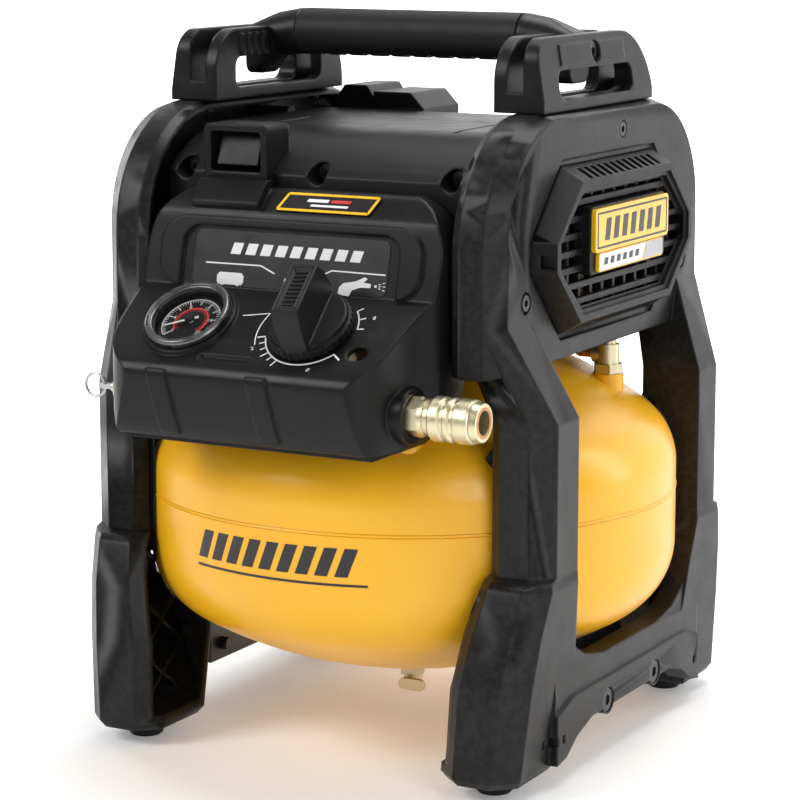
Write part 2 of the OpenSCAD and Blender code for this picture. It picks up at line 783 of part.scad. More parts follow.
// ---------- regulator ----------
module regulator_body() color(brass) on_shelf(knob_x) difference() {
  union() {
    cyl_z(16.5,-34,-3.5);
    cyl_z(6,-38.5,-33.5);
  }
  cyl_z(13,-31,-7);
  cyl_z(5+fit,-10,0);
}
knob_turn = 6;               // turn of the knob grip on the shelf
module knob_grip() translate([0,0,3]) rotate(knob_turn) intersection() {
  box(-7.5,7.5,-23.5,23.5,0,knob_h-3);
  along_x(-20,20) polygon([[-23.5,0],[23.5,0],[20.5,knob_h-10],[17,knob_h-3],
    [-17,knob_h-3],[-20.5,knob_h-10]]);
}
module regulator_knob() color(black) on_shelf(knob_x) {
  difference() {
    union() {
      cyl_z(knob_r,1,6);
      cyl_z(knob_r-2,6,9);
      knob_grip();
    }
    // notches round the skirt
    for (i=[0:35]) rotate(10*i) cyl_z(1.2,-1,7,knob_r+0.6,$fn=16);
    // hollow under the skirt
    difference() {
      cyl_z(knob_r-3,0.9,2.9);
      cyl_z(8,-0.1,4.9);
    }
    // recess in the top of the grip
    rotate(knob_turn) box(-4.5,4.5,-14,14,knob_h-0.8,knob_h+1.2);
  }
  // stem
  cyl_z(5,-17,1.5);
}
module regulator_seat() color(steel) on_shelf(knob_x) cyl_z(12.9,-20.2,-17.2);
// Spring drawn as a stack of separate rings
module regulator_spring() {
  wire_r = 1.1;
  height = 10.6;
  rings = 4;
  color(steel) on_shelf(knob_x) translate([0,0,-30.9]) for (i=[0:rings-1])
    translate([0,0,wire_r+(height-2*wire_r)*i/(rings-1)])
      rotate_extrude($fn=48) translate([10.5,0]) circle(wire_r,$fn=16);
}

// ---------- manifold and outlets ----------
module manifold() color(alu) difference() {
  box(-60,74,-172,-132,202,221);
  port_cyl(7.03,60,80);
  port_cyl(5.03,-64,-44);
  port_cyl(3.5,-50,70);
  cyl_y(3.02,-150,-131,60,209);
  cyl_y(3.02,-150,-131,-20,port_z);
  on_shelf(knob_x) {
    cyl_z(16.52,-34,26);
    cyl_z(6.02,-38.6,-28.6);
  }
  on_shelf(-gauge_x) cyl_z(5.05,-45,15);
}
module coupler_body() color(brass) difference() {
  union() {
    port_cyl(7,62,80);
    port_cyl(10.9,80,92,$fn=6);
    port_cyl(9,92,127);
    port_cyl(9.9,92,95);
    facing_x(123.2,port_y,port_z) cylinder(r1=11,r2=10.2,h=3.8);
  }
  port_cyl(socket_r,107,128);
  port_cyl(5+fit,84,108);
  port_cyl(3,61,85);
}
// Sleeve with two grooves round its outside
module coupler_sleeve() color(brass) facing_x(0,port_y,port_z) rotate_extrude($fn=96)
  polygon([[9+fit,98.6],[sleeve_r-1.2,98.6],[sleeve_r,99.8],[sleeve_r,105],
    [sleeve_r-1.4,106],[sleeve_r-1.4,107.6],[sleeve_r,108.6],[sleeve_r,110.6],
    [sleeve_r-1.4,111.6],[sleeve_r-1.4,113.2],[sleeve_r,114.2],[sleeve_r,121.9],
    [sleeve_r-0.8,123],[9+fit,123]]);
module coupler_poppet() color(brass) difference() {
  port_cyl(5,96,106.6);
  port_cyl(3.2,95,103);
}
module safety_valve_body() color(brass) difference() {
  union() {
    port_cyl(5,-72,-46);
    port_cyl(9,-84,-72,$fn=6);
    port_cyl(7.5,-98,-84);
  }
  port_cyl(2.5+fit,-99,-60);
  port_cyl(2,-62,-45);
}
module safety_valve_pin() color(steel) difference() {
  union() {
    port_cyl(2.5,-103,-66);
    box(-110.5,-102,port_y-2.6,port_y+2.6,port_z-1.2,port_z+1.2);
  }
  cyl_z(1.2,port_z-5,port_z+5,-107.5,port_y);
}
module safety_ring() color(steel) translate([-114,port_y,port_z]) rotate([90,0,0])
  rotate_extrude($fn=64) translate([6.5,0]) circle(0.8,$fn=24);
module pressure_switch() color(dark) {
  difference() {
    box(-36,-4,-130,-113,206,246);
    for (x=[-32,-8]) cyl_z(1.6,238,250,x,-122);
  }
  cyl_y(3,-149,-129.9,-20,port_z);
  for (x=[-28,-20,-12]) box(x-2,x+2,-125,-124,246,252);
}
// Pipe through a list of points, with a ball at each bend
module pipe(points,r) {
  for (i=[0:len(points)-2]) rod(points[i],points[i+1],r);
  for (i=[1:len(points)-2]) translate(points[i]) sphere(r);
}
module tank_tubes() color(copper) {
  // tank outlet to manifold
  outlet_cyl(3.9,194,207);
  outlet_cyl(6.5,199.1,203,$fn=6);
  outlet_cyl(3.9,206,209);
  translate([60,-118,209]) sphere(r=3.9);
  cyl_y(2.9,-149,-118,60,209);
  // check valve to cylinder head
  pipe([[99,38,218],[90,38,218],[90,38,336],[90,12,336],[34.1,12,336]],3);
}
module check_valve() color(brass) difference() {
  union() {
    inlet_cyl(4.9,194,208);
    inlet_cyl(9,207.1,212.7,$fn=6);
    inlet_cyl(6.5,212,224);
    cyl_x(5.5,99.1,108,38,218);
    inlet_cyl(4.5,224,226.5);
  }
  inlet_cyl(2.5,190,220);
  cyl_x(2.5,98,108,38,218);
}
drain_z = 18;                // axis of the drain handle
module drain_valve_body() color(brass) difference() {
  union() {
    cyl_z(4.9,26,40);
    cyl_z(8,22,29.9,$fn=6);
    cyl_z(5,14,23);
  }
  cyl_z(2,10,30);
  cyl_y(2.2+fit,-12,12,0,drain_z);
}
module drain_handle() color(brass) {
  difference() {
    cyl_y(2.2,-9,9,0,drain_z);
    cyl_z(1.6,14,22);
  }
  along_y(-12,-8.9) round_rect(-3.4,14.6,13.6,21.4,3);
}

// ---------- pump ----------
// Children repeated evenly round the crank axis
module around_crank(count) {
  for (i=[0:count-1]) translate([0,0,crank_z]) rotate([360*i/count,0,0]) children();
}
module pump_plate() color(steel) difference() {
  box(-84,84,-60,60,237.05,plate_top);
  at_each(mount_x,mount_y) cyl_z(3.2,230,245);
  at_each([-40,40],[-30,30]) cyl_z(6,230,245);
}
module motor_stator() color(copper) difference() {
  crank_cyl(30,-78,-40);
  crank_cyl(19.4,-80,-38);
  around_crank(12) cyl_x(2.4,-80,-38,0,24);
}
module motor_housing() color(alu) difference() {
  union() {
    crank_cyl(33,-84,-34.1);
    crank_cyl(17,-86,-80);
    box(-76,-44,-22,22,base_z,256);
  }
  crank_cyl(30.02,-80,-39.9);
  crank_cyl(16,-41,-30);
  crank_cyl(14.02,-87,-79);
  around_crank(6) cyl_x(5,-90,-79,0,24);
  around_crank(12) box(-72,-48,-1.5,1.5,31.5,36);
}
module crankshaft_rotor() color(steel) {
  crank_cyl(6,-114,-16);
  crank_cyl(19,-76,-42);
  // crank web cut away on the pin side
  difference() {
    crank_cyl(17,-18,-7);
    both_y() box(-17,-6,9,30,crank_z+2,crank_z+30);
  }
  cyl_x(5,-8,9,0,crank_z+crank_e);
}
module crank_bearings() color(steel) {
  difference() {
    crank_cyl(14,-33,-24);
    crank_cyl(6+fit,-40,-20);
  }
  difference() {
    crank_cyl(14,-86,-80);
    crank_cyl(6+fit,-90,-76);
  }
}
module crankcase() color(alu) difference() {
  union() {
    box(-34,26,-30,30,base_z,case_top);
    both_y() box(-34,26,28,42,base_z,246);
  }
  crank_cyl(23,-20,24);
  crank_cyl(14.02,-33,-15);
  crank_cyl(9,-36,-30);
  crank_cyl(20,20,27);
  bore_cyl(22,285,302);
  at_each([-24,16],[-36,36]) cyl_z(2.6,235,250);
}
module connecting_rod() {
  pin_z = crank_z+crank_e;
  wrist_z = pin_z+28;
  color(steel) difference() {
    union() {
      cyl_x(14,-2,6,0,pin_z);
      box(-1,5,-4,4,pin_z+8,pin_z+26);
      cyl_x(5,-2,6,0,wrist_z);
      cyl_x(2.5,-4,8,0,wrist_z);
    }
    cyl_x(5+fit,-5,10,0,pin_z);
  }
}
module piston() color(alu) difference() {
  bore_cyl(bore_r-fit,309,325);
  bore_cyl(15.8,300,322.3);
  // ring grooves
  for (z=[319.2,322]) difference() {
    bore_cyl(bore_r+2,z,z+1);
    bore_cyl(bore_r-1,z-1,z+2);
  }
}
module cylinder_flange(z0,z1) {
  box(bore_x-block_w,bore_x+block_w,-block_w,block_w,z0,z1);
}
module head_bolt_holes(z0,z1) { at_each(head_bolt_x,head_bolt_y) cyl_z(2.6,z0,z1); }
module cylinder_barrel() color(alu) difference() {
  union() {
    bore_cyl(26,case_top+gap,barrel_top);
    cylinder_flange(case_top+gap,303.5);
    cylinder_flange(321.4,barrel_top);
    // cooling fins
    for (z=[306.5,311,315.5]) bore_cyl(31,z,z+2);
  }
  bore_cyl(bore_r,299,330);
  head_bolt_holes(318,330);
  head_bolt_holes(299,304);
}
module valve_plate() color(steel) {
  difference() {
    cylinder_flange(barrel_top+gap,valve_top);
    head_bolt_holes(320,330);
    at_each([-8,12],[-7,0,7]) cyl_z(2,320,330);
  }
  // discharge reed on top of the plate
  box(8,16,-16,16,valve_top+gap,328.9);
}
module cylinder_head() color(alu) difference() {
  union() {
    cylinder_flange(valve_top+gap,343);
    cyl_x(5,30,34,12,336);
    cyl_y(6,-34,-28,-12,335);
  }
  // intake and discharge chambers with their ports
  box(-24,0,-19,19,328,339);
  box(4,28,-19,19,328,339);
  cyl_x(2.2,26,35,12,336);
  cyl_y(3.5,-35,-18,-12,335);
  head_bolt_holes(320,345);
  // grooves in the top
  for (k=[-2:2]) box(-18,22,k*8-1.5,k*8+1.5,340.4,344);
}
module cooling_fan() color(dark) difference() {
  union() {
    crank_cyl(11,-108,-92);
    difference() {
      crank_cyl(38,-97,-92);
      crank_cyl(34.5,-98,-91);
    }
    around_crank(fan_blades) translate([-100,0,0]) rotate([0,0,28])
      box(-1.1,1.1,-7,7,9,36.5);
  }
  crank_cyl(6,-120,-90);
}
module control_board() color(board_green) {
  box(36,82,-54,-12,250,251.6);
  // standoffs
  at_each([40,78],[-50,-16]) cyl_z(2.5,base_z,250);
  // parts on the board
  for (x=[44:10:74]) box(x,x+7,-48,-40,251.6,262);
  at_each([70],[-35,-23]) cyl_z(4.5,251.6,270);
  box(44,60,-36,-20,251.6,254);
}

// ---------- battery ----------
module battery_pack() color(black) difference() {
  union() {
    intersection() {
      along_z(batt_z,batt_z+batt_h) round_rect(-44,120.4,44,batt_back,7);
      along_x(-50,50) polygon([[120.4,batt_z],[batt_back-8,batt_z],[batt_back,batt_z+8],
        [batt_back,batt_z+batt_h-20],[batt_back-14,batt_z+batt_h],[120.4,batt_z+batt_h]]);
    }
    // hooks round the battery rails
    both_x() {
      box(38.4,44,113.5,124,244,310);
      box(34.4,40,113.5,115.7,244,310);
    }
  }
  // grooves in the rear face and the sides
  for (k=[0:3]) box(-60,60,batt_back-2,batt_back+2,batt_z+24+14*k,batt_z+28+14*k);
  both_x() for (k=[0:4]) box(43,45,140,176,batt_z+26+11*k,batt_z+30+11*k);
}

// ---------- screws ----------
// Screw along +Z with a hexagon socket in its head
module pan_screw(length,r,head_r,head_h) {
  cylinder(r=r,h=length);
  translate([0,0,length-0.01]) difference() {
    cylinder(r=head_r,h=head_h);
    translate([0,0,head_h-1.2]) cylinder(r=head_r*0.5,h=3,$fn=6);
  }
}
module frame_screws() color(steel) both_x() {
  for (y=tie_y) facing_x(107.5,y,tie_z) pan_screw(14.1,1.8,4.4,2.4);
  facing_x(107.5,rear_screw_y,rear_screw_z) pan_screw(14.1,1.8,4.2,2.4);
}
module clamp_bolts() color(steel) {
  // isolator bolts through the rail bosses
  both_x() for (y=boss_y) facing_x(108,y,boss_z) pan_screw(30.6,3.9,6.6,3.4);
  // pump mount studs
  at_each(mount_x,mount_y) translate([0,0,209]) pan_screw(31.1,3,5.5,3.5);
  // cylinder head bolts
  at_each(head_bolt_x,head_bolt_y) translate([0,0,318.2]) pan_screw(24.85,2.4,4.2,3);
  // shroud screws
  for (x=shroud_screw_x) translate([x,-90,shroud_screw_z]) rotate([90,0,0])
    pan_screw(8.05,2,4.6,2.2);
  // loop bolts and handle bolts
  both_x() {
    at_each([loop_screw_x],loop_screw_y) translate([0,0,357]) pan_screw(10.2,2.2,4,2.4);
    facing_x(96.4,0,handle_bolt_z) pan_screw(13.65,2.8,5.4,3);
  }
}

tank_upper_shell();
tank_lower_shell();
tank_weld_ring();
tank_brackets();
tank_isolators();
left_side_frame();
right_side_frame();
left_vent_cover();
right_vent_cover();
vent_badges();
left_carry_loop();
right_carry_loop();
handle_core();
handle_grip();
tie_bars();
rubber_feet();
front_shroud();
rear_shroud();
console_body();
console_bottom_cover();
console_labels();
switch_box();
power_toggle();
gauge_case();
gauge_bezel();
gauge_dial();
gauge_needle();
gauge_lens();
regulator_body();
regulator_knob();
regulator_seat();
regulator_spring();
manifold();
coupler_body();
coupler_sleeve();
coupler_poppet();
safety_valve_body();
safety_valve_pin();
safety_ring();
pressure_switch();
tank_tubes();
check_valve();
drain_valve_body();
drain_handle();
pump_plate();
motor_stator();
motor_housing();
crankshaft_rotor();
crank_bearings();
crankcase();
connecting_rod();
piston();
cylinder_barrel();
valve_plate();
cylinder_head();
cooling_fan();
control_board();
battery_pack();
frame_screws();
clamp_bolts();
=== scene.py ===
# Looks, printed marks and studio for a portable compressor with a battery pack.
# It stands on z = 0 with its tank upright round the Z axis. The console faces
# the front (-Y); the left side is -X and the right side is +X.
# CAD pieces, lights and camera are in metres; marks are drawn in millimetres.
import json
import math

import bmesh
import bpy
from mathutils import Matrix, Vector


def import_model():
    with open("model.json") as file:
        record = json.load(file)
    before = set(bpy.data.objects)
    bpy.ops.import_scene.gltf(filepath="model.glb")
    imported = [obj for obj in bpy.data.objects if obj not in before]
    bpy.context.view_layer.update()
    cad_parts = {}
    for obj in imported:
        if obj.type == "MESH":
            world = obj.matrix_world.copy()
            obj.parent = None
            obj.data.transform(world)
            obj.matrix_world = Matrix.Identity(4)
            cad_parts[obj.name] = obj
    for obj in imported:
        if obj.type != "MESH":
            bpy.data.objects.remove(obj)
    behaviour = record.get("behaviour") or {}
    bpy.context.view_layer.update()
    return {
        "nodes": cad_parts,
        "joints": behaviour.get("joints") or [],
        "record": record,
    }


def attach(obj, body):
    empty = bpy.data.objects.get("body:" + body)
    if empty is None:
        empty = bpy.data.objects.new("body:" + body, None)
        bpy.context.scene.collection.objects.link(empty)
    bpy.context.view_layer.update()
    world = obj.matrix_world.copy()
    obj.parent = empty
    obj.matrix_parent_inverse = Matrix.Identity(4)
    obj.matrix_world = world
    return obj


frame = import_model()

NODES = frame["nodes"]
SLOT = {part["node"]: part["material_slot"] for part in frame["record"]["subparts"]}
JOINT = {joint["name"]: joint for joint in frame["joints"]}
MAT = {}


# ------------------------------------------------------------------ shader helpers
def set_inputs(tree, node, inputs):
    """Link each input that is given a socket, and set the others to the value given."""
    for key, value in inputs.items():
        if isinstance(value, bpy.types.NodeSocket):
            tree.links.new(value, node.inputs[key])
        else:
            node.inputs[key].default_value = value


def add_node(tree, kind, inputs=None, **settings):
    node = tree.nodes.new(kind)
    for key, value in settings.items():
        setattr(node, key, value)
    set_inputs(tree, node, inputs or {})
    return node


def new_material(name):
    """Make a material, file it in MAT, and return its node tree and main shader."""
    material = bpy.data.materials.new(name)
    material.use_nodes = True
    MAT[name] = material
    tree = material.node_tree
    return tree, tree.nodes["Principled BSDF"]


def object_coords(tree):
    return add_node(tree, "ShaderNodeTexCoord").outputs["Object"]


def noise(tree, scale, detail, roughness=0.6, vector=None):
    return add_node(tree, "ShaderNodeTexNoise", {
        "Scale": scale, "Detail": detail, "Roughness": roughness,
        "Vector": vector or object_coords(tree)}).outputs["Fac"]


def ramp(tree, factor, *stops):
    """Colour ramp through two stops of (position, colour)."""
    node = add_node(tree, "ShaderNodeValToRGB", {"Fac": factor})
    for element, (position, colour) in zip(node.color_ramp.elements, stops):
        element.position = position
        element.color = (*colour, 1)
    return node.outputs["Color"]


def map_range(tree, value, to_min, to_max, from_min=0.3, from_max=0.7):
    return add_node(tree, "ShaderNodeMapRange", {
        "Value": value, "From Min": from_min, "From Max": from_max,
        "To Min": to_min, "To Max": to_max}).outputs["Result"]


def bump(tree, height, strength, distance, normal=None):
    inputs = {"Height": height, "Strength": strength, "Distance": distance}
    if normal is not None:
        inputs["Normal"] = normal
    return add_node(tree, "ShaderNodeBump", inputs).outputs["Normal"]


def rub_edges(tree, colour, edge, full_wear=0.68):
    """Blend to the edge colour, in patches, where pointiness marks a convex edge."""
    geometry = add_node(tree, "ShaderNodeNewGeometry")
    convex = map_range(tree, geometry.outputs["Pointiness"], to_min=0.0, to_max=1.0,
                       from_min=0.56, from_max=full_wear)
    patches = map_range(tree, noise(tree, scale=240, detail=3), to_min=0.0, to_max=0.7,
                        from_min=0.40, from_max=0.65)
    wear = add_node(tree, "ShaderNodeMath", {0: convex, 1: patches}, operation="MULTIPLY")
    # a Mix node has its colour inputs at 6 and 7 and its colour output at 2
    mix = add_node(tree, "ShaderNodeMix",
                   {"Factor": wear.outputs[0], 6: colour, 7: (*edge, 1)}, data_type="RGBA")
    return mix.outputs[2]


# ------------------------------------------------------------------ material kinds
def plastic(name, base, edge, rough, grain=1500, depth=0.25, tint=0.14,
            edge_radius=0.0, specular=0.5, coat=0.0):
    """Moulded plastic: fine spark texture, slow colour drift and rubbed edges."""
    tree, shader = new_material(name)
    dark = tuple(c * (1 - tint) for c in base)
    light = tuple(min(1, c * (1 + tint)) for c in base)
    drift = ramp(tree, noise(tree, scale=14, detail=3), (0.3, dark), (0.7, light))
    colour = rub_edges(tree, drift, edge)
    smear = map_range(tree, noise(tree, scale=60, detail=5),
                      to_min=rough - 0.05, to_max=rough + 0.05)
    spark = noise(tree, scale=grain, detail=2, roughness=0.5)
    rounded = None
    if edge_radius:
        # normals rounded over sharp edges
        rounded = add_node(tree, "ShaderNodeBevel", {"Radius": edge_radius},
                           samples=6).outputs["Normal"]
    grained = bump(tree, spark, strength=depth, distance=0.00008, normal=rounded)
    normal = bump(tree, noise(tree, scale=35, detail=2), strength=0.03, distance=0.0004,
                  normal=grained)
    set_inputs(tree, shader, {"Base Color": colour, "Roughness": smear, "Normal": normal,
                              "Specular IOR Level": specular})
    if coat:
        set_inputs(tree, shader, {"Coat Weight": coat, "Coat Roughness": 0.12})


def paint(name, base, rough):
    """Powder coat on steel: soft orange peel under a clear top."""
    tree, shader = new_material(name)
    red, green, blue = base
    dark = (red * 0.97, green * 0.94, blue * 0.8)
    light = (min(1, red * 1.03), min(1, green * 1.05), blue * 1.4)
    edge = tuple(min(1, c * 1.12 + 0.02) for c in base)
    drift = ramp(tree, noise(tree, scale=9, detail=3), (0.3, dark), (0.72, light))
    colour = rub_edges(tree, drift, edge, full_wear=0.66)
    smear = map_range(tree, noise(tree, scale=45, detail=4),
                      to_min=rough - 0.05, to_max=rough + 0.07)
    peel = bump(tree, noise(tree, scale=420, detail=2, roughness=0.45),
                strength=0.10, distance=0.00025)
    normal = bump(tree, noise(tree, scale=28, detail=2), strength=0.04, distance=0.0008,
                  normal=peel)
    set_inputs(tree, shader, {"Base Color": colour, "Roughness": smear, "Normal": normal,
                              "Coat Weight": 0.16, "Coat Roughness": 0.22})


def metal(name, base, rough, scale, streak=(1, 1, 1), dirt=(0.2, 0.17, 0.12), depth=0.12):
    """Turned, cast or drawn metal: micro scratches, tarnish drift and bright edges.

    The streak stretches the scratch texture, whose fineness is the scale."""
    tree, shader = new_material(name)
    mapping = add_node(tree, "ShaderNodeMapping",
                       {"Scale": streak, "Vector": object_coords(tree)})
    scratches = noise(tree, scale=scale, detail=3, vector=mapping.outputs["Vector"])
    tarnished = tuple(c * 0.78 + d * 0.08 for c, d in zip(base, dirt))
    drift = ramp(tree, noise(tree, scale=55, detail=4), (0.28, tarnished), (0.62, base))
    colour = rub_edges(tree, drift, tuple(min(1, c * 1.12) for c in base))
    smear = map_range(tree, scratches, to_min=rough - 0.07, to_max=rough + 0.10)
    normal = bump(tree, scratches, strength=depth, distance=0.0001)
    set_inputs(tree, shader, {"Base Color": colour, "Roughness": smear, "Normal": normal,
                              "Metallic": 1.0})


def lens(name):
    """Thin clear window with faint smears."""
    tree, shader = new_material(name)
    set_inputs(tree, shader, {"Base Color": (0.97, 0.98, 0.98, 1), "Roughness": 0.03,
                              "IOR": 1.1, "Transmission Weight": 1.0})
    smear = map_range(tree, noise(tree, scale=90, detail=3), to_min=0.015, to_max=0.05)
    set_inputs(tree, shader, {"Roughness": smear})


# ------------------------------------------------------------------ materials
paint("yellow_paint", base=(0.93, 0.47, 0.010), rough=0.33)
plastic("black_plastic", base=(0.0068, 0.0066, 0.0063), edge=(0.020, 0.020, 0.020),
        rough=0.36, edge_radius=0.0022, specular=0.24)
plastic("dark_plastic", base=(0.0058, 0.0057, 0.0055), edge=(0.018, 0.018, 0.018),
        rough=0.42, depth=0.2, edge_radius=0.0010, specular=0.24)
plastic("grey_plastic", base=(0.022, 0.022, 0.023), edge=(0.06, 0.06, 0.06),
        rough=0.30, depth=0.12, edge_radius=0.0006)
plastic("black_rubber", base=(0.0085, 0.0084, 0.0082), edge=(0.02, 0.02, 0.02),
        rough=0.52, grain=900, depth=0.35, specular=0.26)
plastic("badge_paint", base=(0.90, 0.50, 0.015), edge=(0.95, 0.62, 0.06),
        rough=0.24, grain=2500, depth=0.05, tint=0.06, coat=0.5)
plastic("label_film", base=(0.014, 0.011, 0.0125), edge=(0.02, 0.02, 0.02),
        rough=0.30, grain=2600, depth=0.05)
metal("brass", base=(0.78, 0.70, 0.47), rough=0.36, scale=420, dirt=(0.25, 0.18, 0.08),
      depth=0.06)
metal("dark_chrome", base=(0.20, 0.20, 0.205), rough=0.30, scale=160, dirt=(0.1, 0.1, 0.1),
      depth=0.03)
metal("copper_bore", base=(0.62, 0.30, 0.13), rough=0.34, scale=700, dirt=(0.2, 0.08, 0.03))
metal("steel", base=(0.60, 0.61, 0.62), rough=0.30, scale=300, streak=(1, 6, 6))
plastic("dark_steel", base=(0.010, 0.010, 0.011), edge=(0.06, 0.06, 0.06),
        rough=0.34, grain=600, depth=0.18)
metal("aluminium", base=(0.66, 0.67, 0.69), rough=0.42, scale=900, depth=0.3)
metal("copper", base=(0.72, 0.36, 0.20), rough=0.28, scale=300, streak=(1, 1, 8),
      dirt=(0.2, 0.08, 0.03))
plastic("white_plastic", base=(0.85, 0.85, 0.84), edge=(0.95, 0.95, 0.95),
        rough=0.35, tint=0.03)
plastic("board", base=(0.01, 0.07, 0.03), edge=(0.05, 0.16, 0.08), rough=0.35, grain=700)
plastic("white_ink", base=(0.80, 0.80, 0.79), edge=(0.85, 0.85, 0.85),
        rough=0.45, depth=0.05, tint=0.03)
plastic("red_ink", base=(0.62, 0.03, 0.025), edge=(0.7, 0.05, 0.05),
        rough=0.45, depth=0.05, tint=0.05)
plastic("grey_ink", base=(0.42, 0.43, 0.44), edge=(0.5, 0.5, 0.5),
        rough=0.40, depth=0.05, tint=0.05)
lens("lens")


# ------------------------------------------------------------------ CAD pieces
# bevel widths in metres: by slot, then wider three-segment ones by piece
DEFAULT_BEVEL = 0.0004
SLOT_BEVEL = {"black_plastic": 0.0011, "dark_plastic": 0.0007, "yellow_paint": 0.0006,
              "brass": 0.0003, "steel": 0.0002, "aluminium": 0.0005}
PIECE_BEVEL = {
    "left_side_frame": 0.0022, "right_side_frame": 0.0022,
    "console_body": 0.0020, "battery_pack": 0.0016,
    "left_carry_loop": 0.0013, "right_carry_loop": 0.0013,
    "regulator_knob": 0.0009, "switch_box": 0.0010,
    "left_vent_cover": 0.0008, "right_vent_cover": 0.0008,
    "coupler_sleeve": 0.00025, "handle_core": 0.0014,
    "front_shroud": 0.0009, "rear_shroud": 0.0009,
}
# pieces whose finish differs from their slot's plain look
FINISH = {"power_toggle": "dark_plastic", "frame_screws": "dark_steel",
          "clamp_bolts": "dark_steel", "gauge_bezel": "dark_chrome",
          "coupler_poppet": "copper_bore"}


def weld_group():
    """Geometry nodes that merge doubled vertices and shade smooth."""
    group = bpy.data.node_groups.new("weld_smooth", "GeometryNodeTree")
    for direction in ("INPUT", "OUTPUT"):
        group.interface.new_socket("Geometry", in_out=direction,
                                   socket_type="NodeSocketGeometry")
    source = add_node(group, "NodeGroupInput")
    result = add_node(group, "NodeGroupOutput")
    weld = add_node(group, "GeometryNodeMergeByDistance",
                    {"Geometry": source.outputs[0], "Distance": 1e-5})
    smooth = add_node(group, "GeometryNodeSetShadeSmooth", {"Geometry": weld.outputs[0]})
    set_inputs(group, result, {0: smooth.outputs[0]})
    return group


def finish_mesh(piece, weld, width, segments):
    """Weld, flatten, bevel and even out the normals of a CAD mesh."""
    piece.modifiers.new("weld", "NODES").node_group = weld
    flat = piece.modifiers.new("flat", "DECIMATE")
    flat.decimate_type = "DISSOLVE"
    flat.angle_limit = math.radians(0.7)
    bevel = piece.modifiers.new("bevel", "BEVEL")
    bevel.width = width
    bevel.segments = segments
    bevel.limit_method = "ANGLE"
    bevel.angle_limit = math.radians(24)
    bevel.use_clamp_overlap = True
    normals = piece.modifiers.new("normals", "WEIGHTED_NORMAL")
    normals.weight = 80
    normals.keep_sharp = True


def dress_cad_pieces():
    weld = weld_group()
    for name, piece in NODES.items():
        slot = SLOT[name]
        piece.data.materials.clear()
        piece.data.materials.append(MAT[FINISH.get(name, slot)])
        if slot != "lens":
            width = PIECE_BEVEL.get(name, SLOT_BEVEL.get(slot, DEFAULT_BEVEL))
            finish_mesh(piece, weld, width, segments=3 if name in PIECE_BEVEL else 2)


dress_cad_pieces()


def local_frame(origin, normal, along=(1, 0, 0)):
    """Matrix with Z on the normal and X as near to 'along' as that allows."""
    z = Vector(normal).normalized()
    x = Vector(along)
    x = (x - z * x.dot(z)).normalized()
    matrix = Matrix((x, z.cross(x), z)).transposed().to_4x4()
    matrix.translation = Vector(origin)
    return matrix


def add_mark(name, mesh, material, body="base"):
    mark = bpy.data.objects.new(name, mesh)
    bpy.context.scene.collection.objects.link(mark)
    mesh.materials.clear()
    mesh.materials.append(MAT[material])
    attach(mark, body)


def polar(radius, degrees):
    angle = math.radians(degrees)
    return (radius * math.cos(angle), radius * math.sin(angle))


def slanted(x0, x1, y0, y1, lean=0.0):
    """Outline of a bar whose top edge is shifted along X by the lean."""
    return [(x0, y0), (x1, y0), (x1 + lean, y1), (x0 + lean, y1)]


